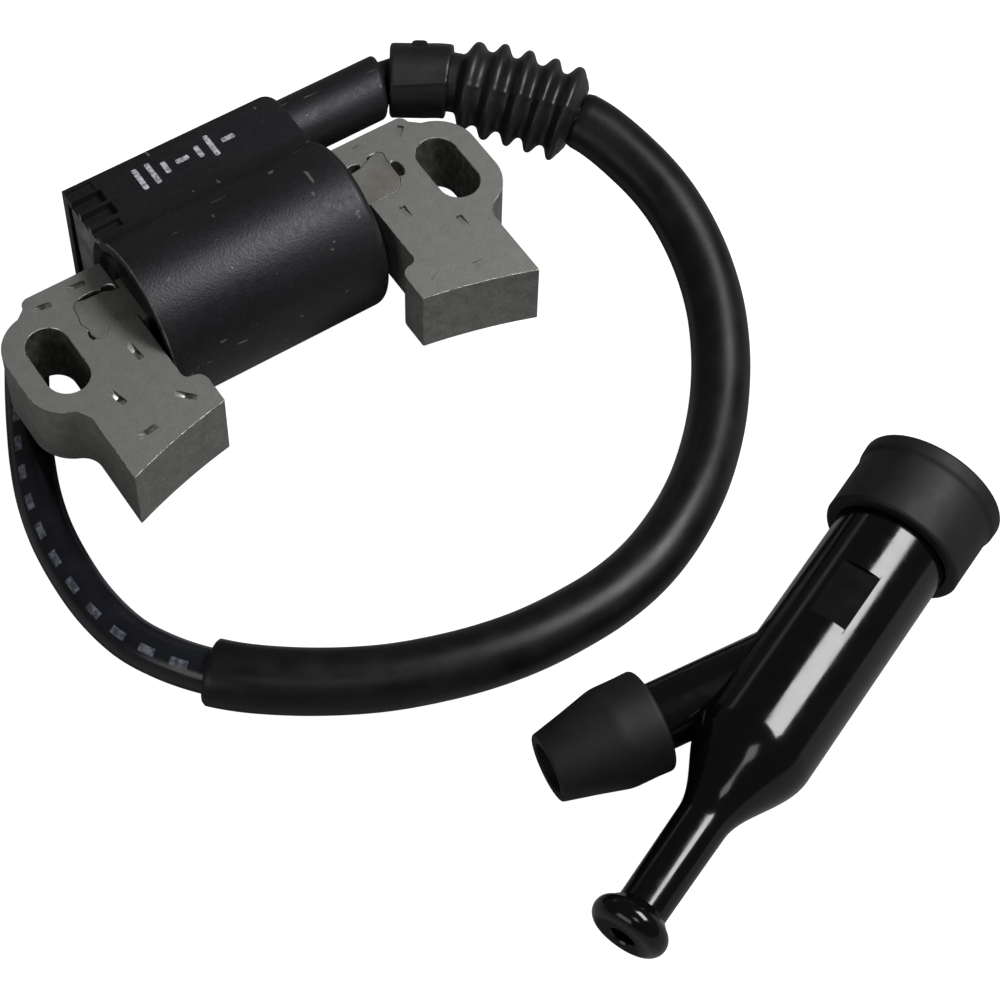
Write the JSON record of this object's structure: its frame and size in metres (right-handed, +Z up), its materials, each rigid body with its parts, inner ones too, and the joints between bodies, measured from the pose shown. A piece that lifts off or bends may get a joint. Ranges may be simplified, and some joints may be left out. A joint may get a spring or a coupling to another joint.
{
  "type": "small engine ignition coil",
  "caption": "Flywheel ignition coil for a small engine: laminated core with slotted ears, moulded case, sleeved high-tension lead with ribbed boot, and a separate spark plug cap.",
  "frame": {"origin": "middle of the footprint of the coil, its boot and the cap, on the surface that they lie on", "axes": "+X along the coil axis from the left pole leg to the outlet tower, -Y the way the pole faces point, +Z up, out of the surface"},
  "size_m": [0.1397, 0.171, 0.0341],
  "materials": {
    "lamination_steel": "bare laminated sheet, satin",
    "case_plastic": "satin moulded",
    "potting_resin": "cast, glossy",
    "bobbin_nylon": "moulded",
    "copper_wire": "enamelled copper wire",
    "fine_enamelled_wire": "fine enamelled copper wire",
    "circuit_board": "glass-epoxy board",
    "chip_epoxy": "moulded epoxy",
    "capacitor_resin": "dipped resin",
    "tinned_brass": "tinned",
    "brass": "plain brass",
    "ceramic": "ceramic",
    "boot_rubber": "matte rubber",
    "sleeve_vinyl": "satin vinyl",
    "lead_insulation": "glossy insulation",
    "cap_phenolic": "glossy phenolic"
  },
  "bodies": {
    "coil": {"left_pole_core": "lamination_steel", "right_pole_core": "lamination_steel", "centre_core_bar": "lamination_steel", "coil_case": "case_plastic", "potting_resin": "potting_resin", "primary_bobbin": "bobbin_nylon", "primary_winding": "copper_wire", "secondary_bobbin": "bobbin_nylon", "secondary_winding_1": "fine_enamelled_wire", "secondary_winding_2": "fine_enamelled_wire", "secondary_winding_3": "fine_enamelled_wire", "secondary_winding_4": "fine_enamelled_wire", "secondary_winding_5": "fine_enamelled_wire", "circuit_board": "circuit_board", "power_transistor": "chip_epoxy", "control_chip": "chip_epoxy", "filter_capacitor": "capacitor_resin", "charge_resistor": "chip_epoxy", "stop_terminal": "tinned_brass", "ht_terminal": "brass", "ht_boot": "boot_rubber", "ht_lead": "lead_insulation", "lead_sleeve": "sleeve_vinyl"},
    "cap": {"cap_body": "cap_phenolic", "cable_screw": "brass", "cap_resistor": "ceramic", "plug_clip": "brass"},
    "plug_seal": {"plug_seal": "boot_rubber"},
    "cable_seal": {"cable_seal": "boot_rubber"}
  },
  "joints": [
    {"name": "cap_lift", "type": "slide", "parent": "coil", "child": "cap", "axis": [0, 0, 1], "range_m": [0, 0.06]},
    {"name": "plug_seal_pull", "type": "slide", "parent": "cap", "child": "plug_seal", "axis": [0.922, 0.3819, 0.0635], "range_m": [0, 0.015]},
    {"name": "cable_seal_pull", "type": "slide", "parent": "cap", "child": "cable_seal", "axis": [-0.9911, 0.1208, -0.0553], "range_m": [0, 0.012]}
  ]
}
